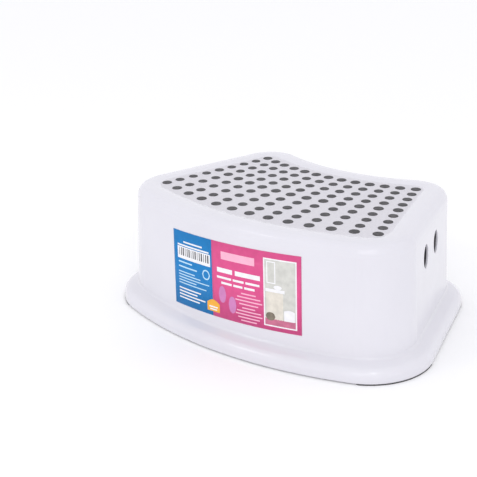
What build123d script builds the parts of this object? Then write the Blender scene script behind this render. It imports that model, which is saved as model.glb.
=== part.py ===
from build123d import *
import math
import os

os.makedirs("parts", exist_ok=True)

# One-step stool for a family bathroom or kitchen. +Z is up and -Y is the front, the
# convex and labelled side. The origin is on the floor, under the middle of the stool.
# All sizes are in millimetres.

# Overall form
TREAD_Z = 128.6  # floor to the tread field
RIM_Z = 1.5  # underside of the skirt, held off the floor by the feet
WALL = 2.6  # moulding thickness

# Plan of the walls at the shoulder; both arcs are centred behind the stool
FRONT_Y = -114.1
FRONT_RADIUS = 389.0
REAR_Y = 95.5
REAR_RADIUS = 201.0
FRONT_CORNER_X = 172.9  # where the straight ends would meet the front arc
REAR_CORNER_X = 114.7  # where they would meet the rear arc
FRONT_CORNER_RADIUS = 47.0
REAR_CORNER_RADIUS = 36.5

# Border round the tread: corners of its cross-section before rounding, as distances
# outward from that plan and heights above the tread field
FIELD_EDGE = -25.0  # where the textured field ends
RAMP_FOOT = -23.9
CREST_IN = -17.0
CREST_RISE = 1.6
SHOULDER_IN = -4.5
SHOULDER_RISE = 0.1
WALL_TOP_DROP = 6.8
FIELD_RADIUS = 7.0
CREST_RADIUS = 30.0
SHOULDER_RADIUS = 8.5
WALL_TOP_RADIUS = 15.0

# Wall and skirt
WALL_DRAFT = 0.042  # outward run per unit of drop
CREASE_Z = 18.6  # where the wall meets the skirt
CREASE_RADIUS = 3.5
SKIRT_REACH = 16.1  # skirt beyond the foot of the wall
LIP_Z = 13.3
LIP_RADIUS = 9.0

# Anti-slip studs: nine arched rows of thirteen, closer together to the rear
ROW_Y = (-77.5, -61.4, -43.9, -26.4, -8.9, 8.2, 25.6, 43.0, 60.3)
ROW_RADIUS_FRONT = 363.0
ROW_RADIUS_REAR = 258.5
STUDS_PER_ROW = 13
PITCH_FRONT = 22.4
PITCH_REAR = 16.4
STUD_RADIUS = 4.85
LARGE_STUD_RADIUS = 5.2
LARGE_STUD_ROWS = (0, 4, 8)
STUD_PROUD = 0.5
STUD_EDGE = 0.35
STUD_CLEARANCE = 0.05
RUNNER_WIDTH = 8.0
RUNNER_THICKNESS = 2.0
RUNNER_CLEARANCE = 0.3

# Ribs under the tread
RIB_THICKNESS = 1.8
RIB_DEPTH = 13.0
RIB_INSET = 1.0  # rib ends inside the edge of the field
CROSS_RIB_COLUMNS = (-4.5, -1.5, 1.5, 4.5)
RIB_REACH = 180.0  # half length of a rib before the panel's outline trims it

# Finger holes, two in each end wall
FINGER_HOLE_WIDTH = 18.0
FINGER_HOLE_HEIGHT = 24.0
FINGER_HOLE_Z = 93.4
FINGER_HOLE_SPACING = 41.5
FINGER_HOLE_SHIFT = -8.0  # middle of the pair, from the middle of the end wall
FINGER_HOLE_EDGE = 0.7

# Corner feet
FOOT_WIDTH = 9.0
FOOT_END_RADIUS = 3.0
LEDGE_THICKNESS = 2.4
LEDGE_WIDTH = 11.0
LEDGE_SPREAD = 4.0  # degrees past each end of the foot
PEG_RADIUS = 2.0
PEG_SETBACK = 5.2  # peg centres behind the face of the lip
PEG_CLEARANCE = 0.05
FRONT_FOOT_ANGLES = (-65.0, 15.0)  # about the corner's centre, from +X
REAR_FOOT_ANGLES = (20.0, 104.0)
PEG_SHARES = (0.2, 0.5, 0.8)  # along the foot, from one end to the other

# Stickers
LABEL_THICKNESS = 0.3
FRONT_LABEL_WIDTH = 156.3
FRONT_LABEL_HEIGHT = 79.0
FRONT_LABEL_X = 5.7
FRONT_LABEL_Z = 69.6
FRONT_LABEL_TILT = 2.1  # stuck on slightly askew
REAR_LABEL_WIDTH = 150.0
REAR_LABEL_HEIGHT = 62.0
REAR_LABEL_Z = 72.0
LABEL_SWEEP = 60.0  # angle of sheet that is made before it is cut to size

# Sizes that follow from the ones above
PLATE_UNDER_Z = TREAD_Z - WALL
WALL_TOP_Z = TREAD_Z - WALL_TOP_DROP
WALL_RUN = WALL_DRAFT * (WALL_TOP_Z - CREASE_Z)
LIP_RUN = WALL_RUN + SKIRT_REACH
LAST_ROW = len(ROW_Y) - 1
LAST_COLUMN = (STUDS_PER_ROW - 1) / 2


def arc_y(x, mid_y, radius):
    """Y on an arc through (0, mid_y) whose centre lies straight behind it."""
    return mid_y + radius - math.sqrt(radius**2 - x**2)


FRONT_CORNER = Vector(FRONT_CORNER_X, arc_y(FRONT_CORNER_X, FRONT_Y, FRONT_RADIUS))
REAR_CORNER = Vector(REAR_CORNER_X, arc_y(REAR_CORNER_X, REAR_Y, REAR_RADIUS))


def wall_plan(grow):
    """Plan of the walls at the shoulder, grown outward by a distance."""
    front_left = (-FRONT_CORNER.X, FRONT_CORNER.Y)
    rear_left = (-REAR_CORNER.X, REAR_CORNER.Y)
    with BuildSketch() as plan:
        with BuildLine():
            ThreePointArc(front_left, (0, FRONT_Y), FRONT_CORNER)
            Line(FRONT_CORNER, REAR_CORNER)
            ThreePointArc(REAR_CORNER, (0, REAR_Y), rear_left)
            Line(rear_left, front_left)
        make_face()
        fillet(plan.vertices().group_by(Axis.Y)[0], FRONT_CORNER_RADIUS)
        fillet(plan.vertices().group_by(Axis.Y)[-1], REAR_CORNER_RADIUS)
        if grow != 0:
            offset(amount=grow)
    return plan.sketch


def section_plane(edge):
    """Plane across the start of an edge of the wall plan: x outward, y up."""
    tangent = edge % 0
    outward = tangent.cross(Vector(0, 0, 1))
    return Plane(origin=edge @ 0, x_dir=outward, z_dir=tangent * -1)


def row_share(row):
    """Position of a row from the front, 0, to the rear, 1."""
    return row / LAST_ROW


def row_radius(row):
    """Radius of a row's arc; the curvature changes evenly from row to row."""
    front_curve = 1 / ROW_RADIUS_FRONT
    rear_curve = 1 / ROW_RADIUS_REAR
    return 1 / (front_curve + (rear_curve - front_curve) * row_share(row))


def row_pitch(row):
    return PITCH_FRONT + (PITCH_REAR - PITCH_FRONT) * row_share(row)


def row_point(row, column):
    """Point on a row's arc, a number of stud pitches from the middle."""
    radius = row_radius(row)
    turn = column * row_pitch(row) / radius
    centre_y = ROW_Y[row] + radius
    return Vector(radius * math.sin(turn), centre_y - radius * math.cos(turn))


def stud_points(row):
    return [row_point(row, n - LAST_COLUMN) for n in range(STUDS_PER_ROW)]


def stud_radius(row):
    return LARGE_STUD_RADIUS if row in LARGE_STUD_ROWS else STUD_RADIUS


def arc_band(mid_y, radius, half_width, thickness):
    """Round-ended band along an arc through (0, mid_y), centred behind it."""
    end_y = arc_y(half_width, mid_y, radius)
    spine = ThreePointArc((-half_width, end_y), (0, mid_y), (half_width, end_y), mode=Mode.PRIVATE)
    with BuildSketch() as band:
        SlotArc(spine, thickness)
    return band.sketch


def runner_plan(row, width):
    """Strip that follows a row of studs, a little longer than the row."""
    return arc_band(ROW_Y[row], row_radius(row), row_point(row, LAST_COLUMN).X, width)


def corner_centre(rear):
    """Centre of the plan's corner rounding on the +X side, front or rear."""
    radius = REAR_CORNER_RADIUS if rear else FRONT_CORNER_RADIUS
    arcs = wall_plan(0).edges().filter_by(GeomType.CIRCLE)
    return arcs.filter_by(lambda e: abs(e.radius - radius) < 0.01).sort_by(Axis.X)[-1].arc_center


def foot_angles(rear):
    return REAR_FOOT_ANGLES if rear else FRONT_FOOT_ANGLES


def corner_point(rear, angle, reach):
    """Point at an angle and a distance from a +X corner's centre."""
    return corner_centre(rear) + Vector(reach, 0).rotate(Axis.Z, angle)


def corner_band(rear, width, spread):
    """Band along the skirt's edge round a +X corner, a number of degrees longer."""
    start, end = foot_angles(rear)
    far = 4 * LIP_RUN + FRONT_CORNER_RADIUS
    with BuildSketch() as band:
        add(wall_plan(LIP_RUN))
        add(wall_plan(LIP_RUN - width), mode=Mode.SUBTRACT)
        with BuildLine():
            Polyline(
                corner_centre(rear),
                corner_point(rear, start - spread, far),
                corner_point(rear, (start + end) / 2, 2 * far),
                corner_point(rear, end + spread, far),
                close=True,
            )
        make_face(mode=Mode.INTERSECT)
    return band.sketch


def peg_points(rear):
    """Peg centres along the middle of a +X foot."""
    start, end = foot_angles(rear)
    corner_radius = REAR_CORNER_RADIUS if rear else FRONT_CORNER_RADIUS
    reach = corner_radius + LIP_RUN - PEG_SETBACK
    return [corner_point(rear, start + share * (end - start), reach) for share in PEG_SHARES]


def wall_run(z):
    """Outward run of the wall face at a height, from its draft."""
    return WALL_DRAFT * (WALL_TOP_Z - z)


def wall_sheet(mid_y, radius, outward, bottom, top):
    """Thin sheet on the face of a curved wall, before it is cut to a label's outline."""
    corners = [
        (radius + outward * wall_run(bottom), bottom),
        (radius + outward * wall_run(top), top),
        (radius + outward * (wall_run(top) + LABEL_THICKNESS), top),
        (radius + outward * (wall_run(bottom) + LABEL_THICKNESS), bottom),
    ]
    turn = math.radians(LABEL_SWEEP / 2)
    start = Vector(-math.sin(turn), -math.cos(turn))
    centre = Vector(0, mid_y + radius)
    with BuildPart() as sheet:
        with BuildSketch(Plane(origin=centre, x_dir=start, z_dir=start.cross(Vector(0, 0, 1)))):
            with BuildLine():
                Polyline(*corners, close=True)
            make_face()
        revolve(axis=Axis(centre, (0, 0, 1)), revolution_arc=LABEL_SWEEP)
    return sheet.part


# Tread panel: the textured part of the moulding, with its stud holes and ribs. The stool's
# body is one moulding; the panel and the shell meet without a seam and are two nodes only
# so that the hollow between the walls stays open in the collision model. ----------------

with BuildPart() as tread_panel:
    with BuildSketch(Plane.XY.offset(PLATE_UNDER_Z - RIB_DEPTH)):
        for row in range(LAST_ROW):
            mid_y = (ROW_Y[row] + ROW_Y[row + 1]) / 2
            mid_radius = (row_radius(row) + row_radius(row + 1)) / 2
            add(arc_band(mid_y, mid_radius, RIB_REACH, RIB_THICKNESS))
        for column in CROSS_RIB_COLUMNS:
            front_end = row_point(0, column)
            lean = row_point(LAST_ROW, column) - front_end
            angle = math.degrees(math.atan2(lean.Y, lean.X))
            with Locations(Location((front_end.X, front_end.Y, 0), angle)):
                Rectangle(2 * RIB_REACH, RIB_THICKNESS)
        add(wall_plan(FIELD_EDGE - RIB_INSET), mode=Mode.INTERSECT)
    extrude(amount=RIB_DEPTH + WALL / 2)
    with BuildSketch(Plane.XY.offset(PLATE_UNDER_Z)):
        for row in range(len(ROW_Y)):
            add(runner_plan(row, RUNNER_WIDTH + 2 * RUNNER_CLEARANCE))
    extrude(amount=-RUNNER_THICKNESS - RUNNER_CLEARANCE, mode=Mode.SUBTRACT)
    with BuildSketch(Plane.XY.offset(PLATE_UNDER_Z)):
        add(wall_plan(FIELD_EDGE))
    extrude(amount=WALL)
    with BuildSketch(Plane.XY.offset(TREAD_Z)):
        for row in range(len(ROW_Y)):
            with Locations(*stud_points(row)):
                Circle(stud_radius(row) + STUD_CLEARANCE)
    extrude(amount=-WALL, mode=Mode.SUBTRACT)
tread_panel.part.label = "tread_panel"
export_step(tread_panel.part, "parts/tread_panel.step")

# Shell: border, walls, skirt, finger holes and the ledges that hold the feet ------------

with BuildPart() as skin:
    for edge in wall_plan(0).face().outer_wire().edges():
        with BuildSketch(section_plane(edge)):
            with BuildLine():
                FilletPolyline(
                    (FIELD_EDGE, TREAD_Z),
                    (RAMP_FOOT, TREAD_Z),
                    (CREST_IN, TREAD_Z + CREST_RISE),
                    (SHOULDER_IN, TREAD_Z + SHOULDER_RISE),
                    (0, WALL_TOP_Z),
                    (WALL_RUN, CREASE_Z),
                    (LIP_RUN, LIP_Z),
                    (LIP_RUN, RIM_Z),
                    radius=[
                        FIELD_RADIUS,
                        CREST_RADIUS,
                        SHOULDER_RADIUS,
                        WALL_TOP_RADIUS,
                        CREASE_RADIUS,
                        LIP_RADIUS,
                    ],
                )
                offset(amount=WALL, side=Side.RIGHT)
            make_face()
        if edge.geom_type == GeomType.LINE:
            extrude(amount=-edge.length)
        else:
            to_centre = edge.arc_center - edge @ 0
            turns_left = (edge % 0).cross(to_centre).Z > 0
            axis = Axis(edge.arc_center, (0, 0, 1 if turns_left else -1))
            revolve(axis=axis, revolution_arc=math.degrees(edge.length / edge.radius))

with BuildPart() as ledges:
    for rear in (False, True):
        with BuildSketch(Plane.XY.offset(RIM_Z)):
            add(corner_band(rear, LEDGE_WIDTH, LEDGE_SPREAD))
            with Locations(*peg_points(rear)):
                Circle(PEG_RADIUS + PEG_CLEARANCE, mode=Mode.SUBTRACT)
        extrude(amount=LEDGE_THICKNESS)
    mirror(about=Plane.YZ)

with BuildPart() as shell:
    add(skin.part)
    end_middle = (FRONT_CORNER + REAR_CORNER) * 0.5
    along = (REAR_CORNER - FRONT_CORNER).normalized()
    for side in (1, -1):
        middle = Vector(side * end_middle.X, end_middle.Y, FINGER_HOLE_Z)
        rearward = Vector(side * along.X, along.Y)
        outward = rearward.cross(Vector(0, 0, side))
        wall_normal = outward + Vector(0, 0, WALL_DRAFT)
        with BuildSketch(Plane(middle + outward * 2 * WALL, x_dir=rearward, z_dir=wall_normal)):
            with Locations((FINGER_HOLE_SHIFT, 0)):
                with GridLocations(FINGER_HOLE_SPACING, 0, 2, 1):
                    Ellipse(FINGER_HOLE_WIDTH / 2, FINGER_HOLE_HEIGHT / 2)
        extrude(amount=-6 * WALL, mode=Mode.SUBTRACT)
        rims = shell.edges(Select.LAST).filter_by(GeomType.LINE, reverse=True)
        fillet(rims, FINGER_HOLE_EDGE)
    add(ledges.part)
shell.part.label = "shell"
export_step(shell.part, "parts/shell.step")

# Anti-slip strips: one soft moulding per row, studs on a runner under the tread ---------

for row in range(len(ROW_Y)):
    with BuildPart() as strip:
        with BuildSketch(Plane.XY.offset(PLATE_UNDER_Z)):
            add(runner_plan(row, RUNNER_WIDTH))
        extrude(amount=-RUNNER_THICKNESS)
        with BuildSketch(Plane.XY.offset(PLATE_UNDER_Z)):
            with Locations(*stud_points(row)):
                Circle(stud_radius(row))
        extrude(amount=WALL + STUD_PROUD)
        fillet(strip.edges().group_by(Axis.Z)[-1], STUD_EDGE)
    strip.part.label = f"tread_strip_{row + 1}"
    export_step(strip.part, f"parts/tread_strip_{row + 1}.step")

# Corner feet: a curved strip under the rim with pegs up into the ledge ------------------

for rear, place in ((False, "front"), (True, "rear")):
    with BuildPart() as foot:
        with BuildSketch():
            add(corner_band(rear, FOOT_WIDTH, 0))
        extrude(amount=RIM_Z)
        fillet(foot.edges().filter_by(Axis.Z), FOOT_END_RADIUS)
        with BuildSketch(Plane.XY.offset(RIM_Z)):
            with Locations(*peg_points(rear)):
                Circle(PEG_RADIUS)
        extrude(amount=LEDGE_THICKNESS)
    foot.part.label = f"foot_{place}_right"
    export_step(foot.part, f"parts/foot_{place}_right.step")
    with BuildPart() as foot_left:
        mirror(foot.part, about=Plane.YZ)
    foot_left.part.label = f"foot_{place}_left"
    export_step(foot_left.part, f"parts/foot_{place}_left.step")

# Stickers on the curved walls -----------------------------------------------------------

with BuildPart() as front_label:
    add(wall_sheet(FRONT_Y, FRONT_RADIUS, 1, CREASE_Z, WALL_TOP_Z))
    with BuildSketch(Plane.XZ):
        with Locations(Location((FRONT_LABEL_X, FRONT_LABEL_Z, 0), FRONT_LABEL_TILT)):
            Rectangle(FRONT_LABEL_WIDTH, FRONT_LABEL_HEIGHT)
    extrude(amount=-2 * FRONT_Y, mode=Mode.INTERSECT)
front_label.part.label = "front_label"
export_step(front_label.part, "parts/front_label.step")

with BuildPart() as rear_label:
    add(wall_sheet(REAR_Y, REAR_RADIUS, -1, CREASE_Z, WALL_TOP_Z))
    with BuildSketch(Plane.XZ):
        with Locations((0, REAR_LABEL_Z)):
            Rectangle(REAR_LABEL_WIDTH, REAR_LABEL_HEIGHT)
    extrude(amount=-2 * REAR_Y, mode=Mode.INTERSECT)
rear_label.part.label = "rear_label"
export_step(rear_label.part, "parts/rear_label.step")
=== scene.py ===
import math

import bmesh
import bpy
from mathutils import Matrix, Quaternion, Vector


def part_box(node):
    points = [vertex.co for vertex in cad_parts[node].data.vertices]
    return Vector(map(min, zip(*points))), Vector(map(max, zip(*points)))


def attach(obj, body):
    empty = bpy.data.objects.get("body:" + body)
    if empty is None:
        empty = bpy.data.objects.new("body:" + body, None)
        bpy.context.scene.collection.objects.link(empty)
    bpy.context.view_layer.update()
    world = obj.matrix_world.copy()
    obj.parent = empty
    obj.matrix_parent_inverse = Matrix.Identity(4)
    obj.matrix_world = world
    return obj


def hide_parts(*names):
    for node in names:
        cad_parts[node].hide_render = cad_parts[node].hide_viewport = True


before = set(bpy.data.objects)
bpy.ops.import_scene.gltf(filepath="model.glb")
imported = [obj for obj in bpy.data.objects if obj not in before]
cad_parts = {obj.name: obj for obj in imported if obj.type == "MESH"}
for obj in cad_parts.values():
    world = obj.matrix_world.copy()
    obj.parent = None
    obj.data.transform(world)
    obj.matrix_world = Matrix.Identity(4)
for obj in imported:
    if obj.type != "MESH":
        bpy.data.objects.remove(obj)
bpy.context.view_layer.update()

MM = 0.001  # the label layouts below are in millimetres

# Walls that the labels lie on, as in the CAD model: arcs in plan, leaning out downward
FRONT_WALL_Y = -114.1
FRONT_WALL_RADIUS = 389.0
REAR_WALL_Y = 95.5
REAR_WALL_RADIUS = 201.0
WALL_TOP_Z = 121.8
WALL_DRAFT = 0.042

# Heights of a label's layers above the wall
SHEET_LIFT = 0.30
SHEET_THICKNESS = 0.25
PRINT_LIFT = 0.34
LAYER_STEP = 0.03

FRONT_LABEL_SIZE = (156.3, 79.0)
FRONT_LABEL_TILT = math.radians(2.1)
REAR_LABEL_SIZE = (150.0, 62.0)
COLUMN_STEP = 3.0  # longest stretch of print between two points along the wall

# Camera: aimed at a point beside the stool, from the right, front and above
CAMERA_AZIMUTH = math.radians(39.2)
CAMERA_ELEVATION = math.radians(21.4)
CAMERA_ROLL = math.radians(-1.3)
CAMERA_DISTANCE = 1.0474
CAMERA_AIM = Vector((-0.0321, -0.0559, 0.0878))
CAMERA_LENS = 77.0

# Values that all the plastics share
COAT_ROUGHNESS = 0.08
SUBSURFACE_SPREAD = (1.0, 0.95, 0.9)  # near neutral, so that the hole rims stay white
SUBSURFACE_SCALE = 0.003
RAMP_START = 0.35
RAMP_END = 0.65
COLOUR_DETAIL = 4
ROUGHNESS_DETAIL = 3
BUMP_DETAIL = 5

# Printed film
INK_COAT = 0.05
INK_SPECULAR = 0.25
INK_MOTTLE_SCALE = 160
INK_BUMP = (220, 0.04, 0.0001)  # scale, strength, distance

# Front label layout, in millimetres from the label's middle
FEWEST_COLUMNS = 8
PANEL_DIVIDE = -23.0  # between the two coloured panels
STRIPES = 15
STRIPE_LEFT = -69.5
STRIPE_PITCH = 2.95
STRIPE_V = 18.0
STRIPE_HEIGHT = 8.2
STRIPE_THINNEST = 0.7
STRIPE_STEP = 0.5
TITLE_BARS = ((-6.8, 19), (20.5, 29))  # middle and width
TITLE_V = 11.0
TITLE_HEIGHT = 4.8
SUBTITLE_ROWS = ((3.4, (18, 13, 16)), (-2.0, (13, 11, 12)))  # height and word widths
SUBTITLE_U = 8.8
SUBTITLE_HEIGHT = 2.3
WORD_GAP = 2
PICTURE_U = 56.2
PICTURE_V = -1.0
PICTURE_WIDTH = 32.2
MIRROR_U = 47.0
MIRROR_V = 19.5
TAB_MIDDLE = 22.5
BASKET_MIDDLE = 66

# Rear label layout
REAR_COLUMNS = 5
REAR_MARGIN = 3
REAR_HEADING_TOP = 25.5
REAR_HEADING = (13, 20, 16)
REAR_BLOCKS = ((11.0, 5), (-2.5, 4), (-13.5, 5))  # top and number of lines
REAR_LINE_WIDTH = 22
REAR_LINE_STEP = 1.5
REAR_LINE_PITCH = 2.2
REAR_LINE_THICKNESS = 0.7

# Studio
FLOOR_HALF_SIZE = 12
FLOOR_CELLS = 8
WORLD_COLOUR = (0.97, 0.97, 1.0, 1)
WORLD_STRENGTH = 1.03


# Materials ------------------------------------------------------------------------------


def plastic(name, colour, roughness, coat=0.0, subsurface=0.0):
    """New material and its shader, with the values that are the same all over."""
    material = bpy.data.materials.new(name)
    material.use_nodes = True
    shader = material.node_tree.nodes["Principled BSDF"]
    shader.inputs["Base Color"].default_value = (*colour, 1)
    shader.inputs["Roughness"].default_value = roughness
    shader.inputs["Coat Weight"].default_value = coat
    shader.inputs["Coat Roughness"].default_value = COAT_ROUGHNESS
    shader.inputs["Subsurface Weight"].default_value = subsurface
    shader.inputs["Subsurface Radius"].default_value = SUBSURFACE_SPREAD
    shader.inputs["Subsurface Scale"].default_value = SUBSURFACE_SCALE
    return material, shader


def noise(tree, scale, detail):
    """Noise in the object's own coordinates."""
    place = tree.nodes.new("ShaderNodeTexCoord")
    texture = tree.nodes.new("ShaderNodeTexNoise")
    texture.inputs["Scale"].default_value = scale
    texture.inputs["Detail"].default_value = detail
    tree.links.new(place.outputs["Object"], texture.inputs["Vector"])
    return texture.outputs["Fac"]


def ramp(tree, factor, low, high):
    """Two colours, or two greys, mixed by a factor."""
    node = tree.nodes.new("ShaderNodeValToRGB")
    node.color_ramp.elements[0].position = RAMP_START
    node.color_ramp.elements[1].position = RAMP_END
    node.color_ramp.elements[0].color = (*low, 1)
    node.color_ramp.elements[1].color = (*high, 1)
    tree.links.new(factor, node.inputs["Fac"])
    return node.outputs["Color"]


def vary_colour(material, shader, scale, low, high):
    tree = material.node_tree
    colour = ramp(tree, noise(tree, scale, COLOUR_DETAIL), low, high)
    tree.links.new(colour, shader.inputs["Base Color"])


def vary_roughness(material, shader, scale, low, high):
    tree = material.node_tree
    factor = noise(tree, scale, ROUGHNESS_DETAIL)
    grey = ramp(tree, factor, (low,) * 3, (high,) * 3)
    tree.links.new(grey, shader.inputs["Roughness"])


def add_bump(material, shader, scale, strength, distance):
    tree = material.node_tree
    bump = tree.nodes.new("ShaderNodeBump")
    bump.inputs["Strength"].default_value = strength
    bump.inputs["Distance"].default_value = distance
    tree.links.new(noise(tree, scale, BUMP_DETAIL), bump.inputs["Height"])
    tree.links.new(bump.outputs["Normal"], shader.inputs["Normal"])


def gloss_shell():
    """Smooth moulded polypropylene, faintly blue, with the slight waviness of a moulding."""
    material, shader = plastic("shell_gloss", (0.72, 0.71, 0.76), 0.17, coat=0.35, subsurface=0.1)
    vary_colour(material, shader, 9, (0.708, 0.698, 0.746), (0.734, 0.724, 0.772))
    vary_roughness(material, shader, 35, 0.15, 0.22)
    add_bump(material, shader, 45, 0.06, 0.0004)
    return material


def stippled_field_with_painted_shade():
    """The tread field: the same plastic with a fine stipple, so it is duller; its darker base colour
    is partly the stipple's own grey and partly painted shade of the up-facing top.
    """
    # Base colour darker than the shell's: partly the stipple's grey, partly painted shade of the
    # up-facing top
    material, shader = plastic("tread_stipple_and_painted_shade", (0.62, 0.605, 0.645), 0.5, subsurface=0.08)
    vary_colour(material, shader, 1100, (0.615, 0.60, 0.64), (0.685, 0.67, 0.71))
    vary_roughness(material, shader, 600, 0.42, 0.60)
    add_bump(material, shader, 1300, 0.45, 0.00018)
    return material


def soft_rubber(name, low, high):
    material, shader = plastic(name, low, 0.6)
    vary_colour(material, shader, 500, low, high)
    vary_roughness(material, shader, 260, 0.5, 0.7)
    add_bump(material, shader, 900, 0.3, 0.00012)
    return material


def printed(name, colour, roughness=0.45, mottle=0.04):
    """Printed film: a flat ink with slight mottle under a thin gloss."""
    material, shader = plastic(name, colour, roughness, coat=INK_COAT)
    shader.inputs["Specular IOR Level"].default_value = INK_SPECULAR
    low = [max(0.0, c * (1 - mottle)) for c in colour]
    high = [min(1.0, c * (1 + mottle)) for c in colour]
    vary_colour(material, shader, INK_MOTTLE_SCALE, low, high)
    add_bump(material, shader, *INK_BUMP)
    return material


# Print on curved walls ------------------------------------------------------------------


def front_wall(x, z, lift):
    """Point on the convex front wall, raised by a lift; millimetres in, metres out."""
    radius = FRONT_WALL_RADIUS + WALL_DRAFT * (WALL_TOP_Z - z) + lift
    y = FRONT_WALL_Y + FRONT_WALL_RADIUS - math.sqrt(radius**2 - x**2)
    return Vector((x, y, z)) * MM


def rear_wall(x, z, lift):
    """Point on the concave rear wall, raised by a lift; millimetres in, metres out."""
    radius = REAR_WALL_RADIUS - WALL_DRAFT * (WALL_TOP_Z - z) - lift
    y = REAR_WALL_Y + REAR_WALL_RADIUS - math.sqrt(radius**2 - x**2)
    return Vector((x, y, z)) * MM


class Print:
    """Patches of film laid on a wall, in label coordinates: u right and v up from the middle,
    as the label is read. Each colour is a material slot of one mesh."""

    def __init__(self, name, node, wall, facing, tilt):
        low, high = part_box(node)
        middle = (Vector(low) + Vector(high)) / 2
        self.name = name
        self.middle = (middle.x / MM, middle.z / MM)
        self.wall = wall
        self.facing = facing
        self.tilt = tilt
        self.mesh = bmesh.new()
        self.materials = []

    def place(self, u, v, lift):
        x = self.facing * (u * math.cos(self.tilt) - v * math.sin(self.tilt))
        z = u * math.sin(self.tilt) + v * math.cos(self.tilt)
        return self.wall(self.middle[0] + x, self.middle[1] + z, lift)

    def patch(self, material, left, right, lower, upper, lift):
        """Patch between two edges, v = lower(u) and v = upper(u)."""
        if material not in self.materials:
            self.materials.append(material)
        slot = self.materials.index(material)
        columns = max(FEWEST_COLUMNS, math.ceil((right - left) / COLUMN_STEP))
        edge = []
        for n in range(columns + 1):
            u = left + (right - left) * n / columns
            ends = (self.place(u, lower(u), lift), self.place(u, upper(u), lift))
            edge.append([self.mesh.verts.new(point) for point in ends])
        for (low_a, high_a), (low_b, high_b) in zip(edge, edge[1:]):
            face = self.mesh.faces.new((low_a, low_b, high_b, high_a))
            face.material_index = slot
            face.smooth = True

    def block(self, material, u, v, width, height, layer=0):
        """Rectangle about its middle."""
        lift = PRINT_LIFT + layer * LAYER_STEP
        low, high = v - height / 2, v + height / 2
        self.patch(material, u - width / 2, u + width / 2, flat(low), flat(high), lift)

    def oval(self, material, u, v, width, height, layer=0):
        """Ellipse about its middle."""
        lift = PRINT_LIFT + layer * LAYER_STEP

        def half(x):
            return height / 2 * math.sqrt(max(0.0, 1 - ((x - u) / (width / 2)) ** 2))

        def lower(x):
            return v - half(x)

        def upper(x):
            return v + half(x)

        self.patch(material, u - width / 2, u + width / 2, lower, upper, lift)

    def lines(self, material, left, top, widths, pitch, thickness, centred=False):
        """Plain bars that stand for lines of small print, from a left edge or centred on it."""
        for n, width in enumerate(widths):
            u = left if centred else left + width / 2
            self.block(material, u, top - n * pitch, width, thickness)

    def finish(self):
        data = bpy.data.meshes.new(self.name)
        self.mesh.to_mesh(data)
        self.mesh.free()
        for material in self.materials:
            data.materials.append(material)
        piece = bpy.data.objects.new(self.name, data)
        bpy.context.scene.collection.objects.link(piece)
        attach(piece, "root")
        return piece


def thicken(piece):
    """Gives a label's sheet its thickness, inward from its face."""
    solid = piece.modifiers.new("thickness", "SOLIDIFY")
    solid.thickness = SHEET_THICKNESS * MM
    solid.offset = -1


def flat(value):
    """Edge of a patch at a constant v."""
    return lambda u: value


def tab_top(u):
    """Upper edge of the orange tab."""
    return -22.2 - 0.16 * abs(u + TAB_MIDDLE) ** 1.5


def basket_top(u):
    """Upper edge of the white basket in the picture."""
    return -16.0 - 0.05 * (u - BASKET_MIDDLE) ** 2


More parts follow.
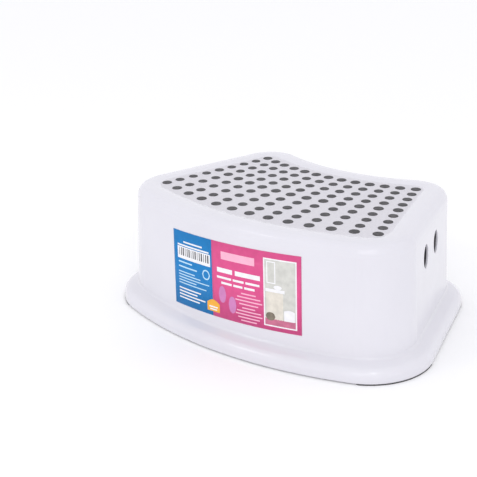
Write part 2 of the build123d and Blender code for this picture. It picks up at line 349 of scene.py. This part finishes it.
def front_label():
    width, height = FRONT_LABEL_SIZE
    left, right, low, high = -width / 2, width / 2, -height / 2, height / 2

    blue = printed("ink_blue", (0.004, 0.20, 0.52))
    pink = printed("ink_pink", (0.71, 0.085, 0.26))
    white = printed("ink_white", (0.86, 0.86, 0.88))
    black = printed("ink_black", (0.05, 0.05, 0.06))
    lilac = printed("ink_lilac", (0.60, 0.22, 0.48))
    orange = printed("ink_orange", (0.86, 0.42, 0.05))
    pale_blue = printed("ink_pale_blue", (0.50, 0.74, 0.90))
    pale_pink = printed("ink_pale_pink", (0.90, 0.45, 0.60))
    wall_grey = printed("picture_wall", (0.62, 0.62, 0.58), mottle=0.08)
    cream = printed("picture_cream", (0.72, 0.68, 0.60), mottle=0.08)
    shade = printed("picture_shade", (0.20, 0.17, 0.13), mottle=0.2)
    rose = printed("picture_mat", (0.55, 0.16, 0.26), mottle=0.12)

    sheet = Print("front_sticker_sheet", "front_label", front_wall, 1, FRONT_LABEL_TILT)
    sheet.patch(blue, left, PANEL_DIVIDE, flat(low), flat(high), SHEET_LIFT)
    sheet.patch(pink, PANEL_DIVIDE, right, flat(low), flat(high), SHEET_LIFT)
    piece = sheet.finish()
    thicken(piece)
    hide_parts("front_label")

    art = Print("front_sticker_print", "front_label", front_wall, 1, FRONT_LABEL_TILT)

    # Blue panel: heading bars, a block of plain stripes, small print and a plain ring
    art.lines(white, -49.5, 28.6, (27, 45), 3.7, 1.6, centred=True)
    art.block(white, -48.8, 16.9, 47, 12.6)
    for n in range(STRIPES):
        stripe = STRIPE_THINNEST + STRIPE_STEP * (n * 7 % 3)
        art.block(black, STRIPE_LEFT + n * STRIPE_PITCH, STRIPE_V, stripe, STRIPE_HEIGHT, layer=1)
    art.lines(pale_blue, -71.2, 6.9, (20, 27), 5.0, 1.5)
    art.oval(pale_blue, -31.4, 1.2, 10.5, 10.5)
    art.oval(blue, -31.4, 1.2, 7.8, 7.8, layer=1)
    art.lines(pale_blue, -71.5, -3.6, (24, 32, 44, 26, 40), 3.0, 1.1)
    art.lines(white, -71.5, -21.2, (32, 27, 38, 30), 3.4, 1.4)

    # Pink panel: a plain pale bar, title bars, small print
    art.block(pale_pink, 9.0, 26.4, 40.0, 8.0)
    for u, wide in TITLE_BARS:
        art.block(white, u, TITLE_V, wide, TITLE_HEIGHT)
    for top, words in SUBTITLE_ROWS:
        u = SUBTITLE_U - (sum(words) + WORD_GAP * (len(words) - 1)) / 2
        for word in words:
            art.block(white, u + word / 2, top, word, SUBTITLE_HEIGHT)
            u += word + WORD_GAP
    art.lines(pale_pink, 21.5, -8.0, (17, 27, 31, 22), 3.6, 1.3, centred=True)
    art.lines(pale_pink, 21.5, -22.6, (15, 28, 31, 25, 18), 3.3, 1.3, centred=True)

    # Two plain lilac ovals and an orange tab over the join of the panels
    art.oval(lilac, -10.2, -14.2, 9.5, 17.5)
    art.oval(lilac, 2.2, -22.5, 9.5, 17.5)
    art.patch(orange, -30.6, -14.2, flat(-35.0), tab_top, PRINT_LIFT + LAYER_STEP)
    art.block(white, -22.4, -30.2, 11, 1.5, layer=2)
    art.block(white, -22.4, -32.8, 9, 1.3, layer=2)

    # Picture with a white border: a made-up washroom corner with no one in it
    art.block(white, PICTURE_U, PICTURE_V, 34.8, 68.6)
    art.block(wall_grey, PICTURE_U, PICTURE_V, PICTURE_WIDTH, 66.0, layer=1)
    art.block(white, MIRROR_U, MIRROR_V, 9.5, 22.0, layer=2)
    art.block(wall_grey, MIRROR_U, MIRROR_V, 7.5, 20.0, layer=3)
    art.block(cream, 50.6, -13.5, 18.0, 28.0, layer=2)
    art.block(white, 51.0, 1.5, 20.4, 3.2, layer=3)
    art.oval(white, 54.0, 5.2, 9.0, 4.2, layer=3)
    art.block(rose, PICTURE_U, -30.6, PICTURE_WIDTH, 6.8, layer=2)
    art.oval(shade, 46.0, -25.0, 10.5, 8.5, layer=4)
    art.patch(white, 60.5, 71.5, flat(-27.5), basket_top, PRINT_LIFT + 4 * LAYER_STEP)
    art.finish()


def rear_label():
    width, height = REAR_LABEL_SIZE
    film = printed("film_cream", (0.70, 0.665, 0.66), roughness=0.3, mottle=0.02)
    grey = printed("film_small_print", (0.40, 0.38, 0.38))

    sheet = Print("rear_film_sheet", "rear_label", rear_wall, -1, 0.0)
    sheet.patch(film, -width / 2, width / 2, flat(-height / 2), flat(height / 2), SHEET_LIFT)
    piece = sheet.finish()
    thicken(piece)
    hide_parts("rear_label")

    art = Print("rear_film_print", "rear_label", rear_wall, -1, 0.0)
    pitch = width / REAR_COLUMNS
    for n in range(REAR_COLUMNS):
        start = -width / 2 + n * pitch + REAR_MARGIN
        art.lines(
            grey, start, REAR_HEADING_TOP, REAR_HEADING, REAR_LINE_PITCH, REAR_LINE_THICKNESS
        )
        for top, rows in REAR_BLOCKS:
            offsets = [(3 * n + 2 * row) % 3 - 1 for row in range(rows)]
            widths = [REAR_LINE_WIDTH + REAR_LINE_STEP * offset for offset in offsets]
            art.lines(grey, start, top, widths, REAR_LINE_PITCH, REAR_LINE_THICKNESS)
    art.finish()


# CAD nodes keep their shape and get their materials here --------------------------------


def dress(node, material):
    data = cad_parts[node].data
    data.materials.clear()
    data.materials.append(material)


def dress_frame():
    shell = gloss_shell()
    studs = soft_rubber("stud_rubber_soft", (0.040, 0.038, 0.041), (0.066, 0.063, 0.067))
    feet = soft_rubber("foot_rubber_soft", (0.045, 0.044, 0.046), (0.075, 0.073, 0.076))
    dress("shell", shell)
    dress("tread_panel", stippled_field_with_painted_shade())
    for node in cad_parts:
        if node.startswith("tread_strip_"):
            dress(node, studs)
        elif node.startswith("foot_"):
            dress(node, feet)


# Studio ---------------------------------------------------------------------------------


def floor():
    material, shader = plastic("floor_white", (0.97, 0.97, 0.97), 0.9)
    vary_roughness(material, shader, 3, 0.85, 0.92)
    data = bpy.data.meshes.new("floor")
    mesh = bmesh.new()
    bmesh.ops.create_grid(mesh, x_segments=FLOOR_CELLS, y_segments=FLOOR_CELLS, size=FLOOR_HALF_SIZE)
    mesh.to_mesh(data)
    mesh.free()
    data.materials.append(material)
    piece = bpy.data.objects.new("floor", data)
    bpy.context.scene.collection.objects.link(piece)


def softbox(name, place, target, size, power):
    data = bpy.data.lights.new(name, "AREA")
    data.shape = "RECTANGLE"
    data.size, data.size_y = size
    data.energy = power
    light = bpy.data.objects.new(name, data)
    light.location = place
    light.rotation_euler = (Vector(target) - Vector(place)).to_track_quat("-Z", "Y").to_euler()
    bpy.context.scene.collection.objects.link(light)


def studio():
    world = bpy.data.worlds.new("studio_white")
    world.use_nodes = True
    background = world.node_tree.nodes["Background"]
    background.inputs["Color"].default_value = WORLD_COLOUR
    background.inputs["Strength"].default_value = WORLD_STRENGTH
    bpy.context.scene.world = world
    bpy.context.scene.view_settings.view_transform = "Standard"
    softbox("key_right", (1.1, -1.5, 0.9), (0, 0, 0.06), (1.2, 0.8), 3)
    softbox("glint_left", (-0.67, -1.2, 1.06), (0, -0.1, 0.1), (0.42, 0.035), 1.5)
    softbox("glint_right", (0.95, -0.8, 1.05), (0.15, -0.08, 0.1), (0.09, 0.09), 0.9)


def camera():
    back = Vector(
        (
            math.sin(CAMERA_AZIMUTH) * math.cos(CAMERA_ELEVATION),
            -math.cos(CAMERA_AZIMUTH) * math.cos(CAMERA_ELEVATION),
            math.sin(CAMERA_ELEVATION),
        )
    )
    data = bpy.data.cameras.new("camera")
    data.lens = CAMERA_LENS
    view = bpy.data.objects.new("camera", data)
    view.rotation_mode = "QUATERNION"
    view.location = CAMERA_AIM + back * CAMERA_DISTANCE
    level = (-back).to_track_quat("-Z", "Y")
    view.rotation_quaternion = Quaternion(back, CAMERA_ROLL) @ level
    bpy.context.scene.collection.objects.link(view)
    bpy.context.scene.camera = view


dress_frame()
front_label()
rear_label()
floor()
studio()
camera()
